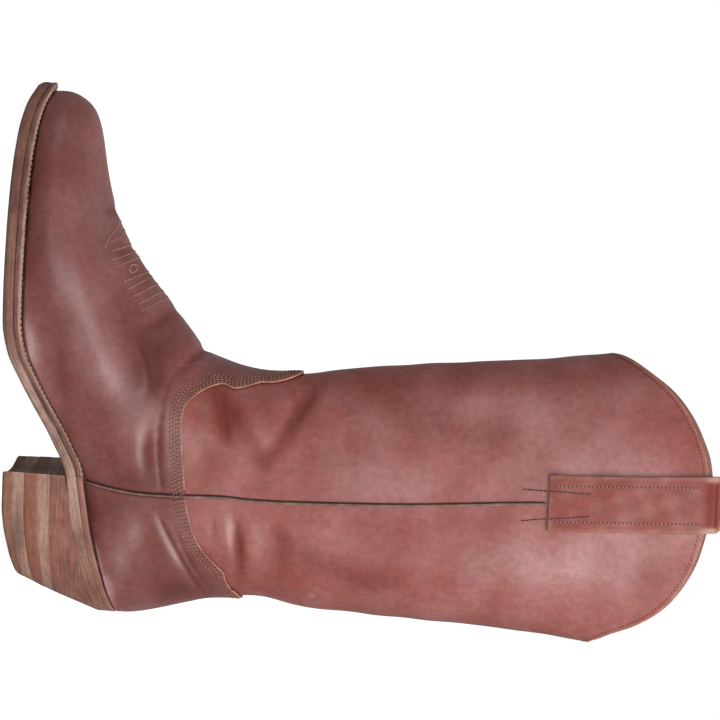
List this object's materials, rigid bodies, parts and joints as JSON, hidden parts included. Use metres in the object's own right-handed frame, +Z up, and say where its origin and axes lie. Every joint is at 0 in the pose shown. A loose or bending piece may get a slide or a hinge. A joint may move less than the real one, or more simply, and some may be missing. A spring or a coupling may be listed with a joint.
{
  "type": "western boot",
  "caption": "Tall leather western boot for the left foot: pointed toe, welted leather sole, slanted stacked heel, scalloped collar, side seams and pull straps.",
  "frame": {"origin": "centre of the bounding box, on the floor", "axes": "+Z up the shaft, the toe points along -Y, +X is the outer side of the left boot"},
  "size_m": [0.0993, 0.2921, 0.3934],
  "materials": {
    "outsole_leather": "worn matt leather with a sanded edge",
    "welt_leather": "waxed edge",
    "top_lift_leather": "worn matt leather",
    "lift_leather": "sanded and waxed edge",
    "red_lift_leather": "sanded and waxed edge",
    "insole_leather": "matt leather",
    "shaft_leather": "smooth leather with a soft gloss",
    "vamp_leather": "scuffed smooth leather with a soft gloss",
    "piping_leather": "smooth leather"
  },
  "bodies": {
    "root": {"outsole": "outsole_leather", "welt": "welt_leather", "heel_rand": "welt_leather", "top_lift": "top_lift_leather", "heel_lift_1": "lift_leather", "heel_lift_2": "red_lift_leather", "heel_lift_3": "lift_leather", "heel_wedge": "lift_leather", "insole": "insole_leather", "upper": "shaft_leather", "vamp": "vamp_leather", "counter": "vamp_leather", "side_seam_outer": "piping_leather", "side_seam_inner": "piping_leather", "pull_strap_outer": "shaft_leather", "pull_strap_inner": "shaft_leather"}
  },
  "joints": []
}
